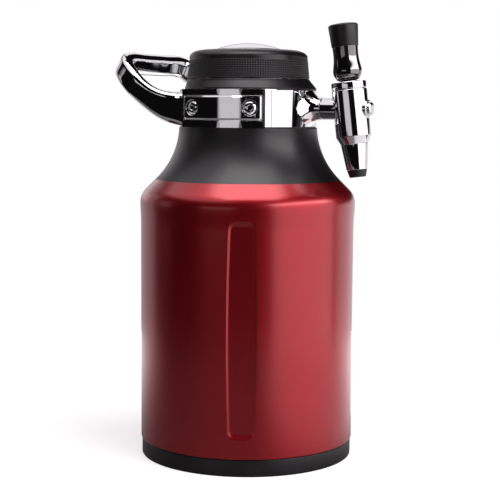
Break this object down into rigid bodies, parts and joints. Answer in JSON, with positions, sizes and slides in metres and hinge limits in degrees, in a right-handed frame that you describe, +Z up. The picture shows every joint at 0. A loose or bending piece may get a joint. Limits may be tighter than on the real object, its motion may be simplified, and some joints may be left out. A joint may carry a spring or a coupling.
{
  "type": "mini keg beer dispenser",
  "caption": "Insulated cylindrical mini keg with a chrome neck collar carrying a lever tap and a loop handle, under a black screw cap with a pressure dial and gas cartridge.",
  "frame": {"origin": "centre of the flat underside of the base boot, on the vessel's axis", "axes": "+Z up along the vessel's axis, +X from the vessel towards the tap, the loop handle on the -X side"},
  "size_m": [0.1533, 0.1308, 0.2611],
  "materials": {
    "red_shell": "satin metallic red powder coat",
    "black_metal": "satin black powder coat",
    "black_plastic": "matte black moulding",
    "black_gloss": "glossy black moulding",
    "chrome": "polished",
    "steel": "satin stainless",
    "rubber": "matte",
    "brass": "turned",
    "clear_tube": "food-grade plastic"
  },
  "bodies": {
    "vessel": {"base_boot": "black_plastic", "outer_shell": "red_shell", "shoulder_sleeve": "black_metal", "inner_vessel": "steel", "collar_lining": "rubber", "clamp_band": "steel", "tap_block": "chrome", "handle_frame": "chrome", "side_plate_left": "chrome", "side_plate_right": "chrome", "collar_screws": "chrome", "neck_skirt": "black_plastic", "neck_port": "steel", "shank_seal": "rubber", "tap_shank": "steel", "dip_elbow": "clear_tube", "dip_tube": "steel", "tap_body": "chrome", "front_plug": "chrome", "tap_bonnet": "chrome", "pivot_pin": "steel", "lever_seal": "rubber", "tap_spout": "chrome", "spout_tip": "black_plastic"},
    "tap_lever": {"lever_stem": "steel", "lever_grip": "black_gloss", "lever_cap": "black_plastic"},
    "tap_valve": {"valve_plunger": "steel", "valve_seal": "rubber"},
    "cap_seal": {"cap_gasket": "rubber"},
    "cap_washer": {"slip_washer": "clear_tube"},
    "cap": {"cap_shell": "black_plastic", "regulator_body": "brass", "diaphragm": "rubber", "regulator_spring": "steel", "check_valve": "brass", "relief_valve": "brass", "cartridge_seal": "rubber", "pierce_pin": "steel"},
    "dial": {"pressure_dial": "chrome", "dial_screw": "steel"},
    "dial_nut": {"spring_seat": "brass"},
    "cartridge": {"co2_cartridge": "steel", "cartridge_holder": "black_plastic"}
  },
  "joints": [
    {"name": "lever_tilt", "type": "hinge", "parent": "vessel", "child": "tap_lever", "pos_m": [0.06551, 0, 0.22507], "axis": [0, 1, 0], "range_deg": [0, 22]},
    {"name": "valve_travel", "type": "slide", "parent": "vessel", "child": "tap_valve", "axis": [-1, 0, 0], "range_m": [0, 0.00529]},
    {"name": "cap_lift", "type": "slide", "parent": "vessel", "child": "cap_seal", "axis": [0, 0, 1], "range_m": [0, 0.115]},
    {"name": "cap_rise", "type": "slide", "parent": "cap_seal", "child": "cap_washer", "axis": [0, 0, 1], "range_m": [0, 0.006]},
    {"name": "cap_turn", "type": "hinge", "parent": "cap_washer", "child": "cap", "pos_m": [0, 0, 0.2415], "axis": [0, 0, 1], "range_deg": [0, 540]},
    {"name": "dial_turn", "type": "hinge", "parent": "cap", "child": "dial", "pos_m": [0, 0, 0.2447], "axis": [0, 0, -1], "range_deg": [0, 270]},
    {"name": "nut_travel", "type": "slide", "parent": "cap", "child": "dial_nut", "axis": [0, 0, -1], "range_m": [0, 0.003], "deforming": ["regulator_spring"]},
    {"name": "holder_draw", "type": "slide", "parent": "cap", "child": "cartridge", "axis": [0, 0, -1], "range_m": [0, 0.075]}
  ],
  "couplings": [
    {"joint": "valve_travel", "follows": "lever_tilt", "m_per_rad": 0.013777},
    {"joint": "cap_rise", "follows": "cap_turn", "m_per_rad": 0.0006366},
    {"joint": "nut_travel", "follows": "dial_turn", "m_per_rad": 0.0006366}
  ]
}
